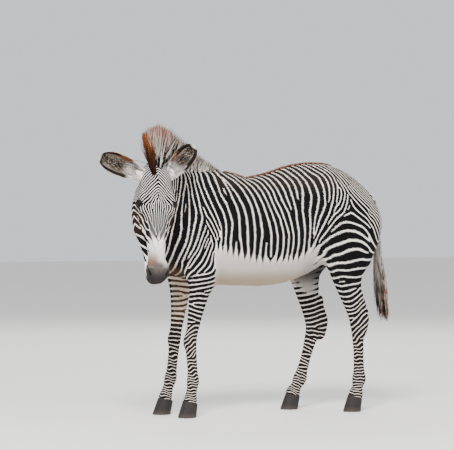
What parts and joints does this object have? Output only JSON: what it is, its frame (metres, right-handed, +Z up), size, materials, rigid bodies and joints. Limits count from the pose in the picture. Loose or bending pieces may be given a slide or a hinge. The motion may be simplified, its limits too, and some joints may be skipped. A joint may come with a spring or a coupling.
{
  "type": "standing grevy's zebra",
  "caption": "Still life-size museum model of a standing zebra: striped coat, neck bent to its left, head turned to look sideways, upright tufted mane.",
  "frame": {"origin": "middle of the underside of the whole zebra's box, on the floor under the belly", "axes": "+X from the shoulders to the tail, so the zebra's chest faces -X; +Y to the zebra's right; +Z up; the head is turned to look along -Y"},
  "size_m": [1.9022, 0.7982, 1.6387],
  "materials": {
    "coat": "short flat hair, blackish-brown and cream stripes",
    "hair": "long coarse upright hair, brown at the tips",
    "hoof": "dark grey horn, fine growth rings, dusty",
    "eye": "wet dark brown"
  },
  "bodies": {
    "root": {"trunk": "coat", "neck": "coat", "head": "coat", "eye_left": "eye", "eye_right": "eye", "ear_left": "coat", "ear_right": "coat", "mane": "hair", "thigh_left": "coat", "cannon_hind_left": "coat", "thigh_right": "coat", "cannon_hind_right": "coat", "forearm_left": "coat", "cannon_fore_left": "coat", "forearm_right": "coat", "cannon_fore_right": "coat", "hoof_fore_left": "hoof", "hoof_fore_right": "hoof", "hoof_hind_left": "hoof", "hoof_hind_right": "hoof", "tail": "coat", "tail_tuft": "hair"}
  },
  "joints": []
}
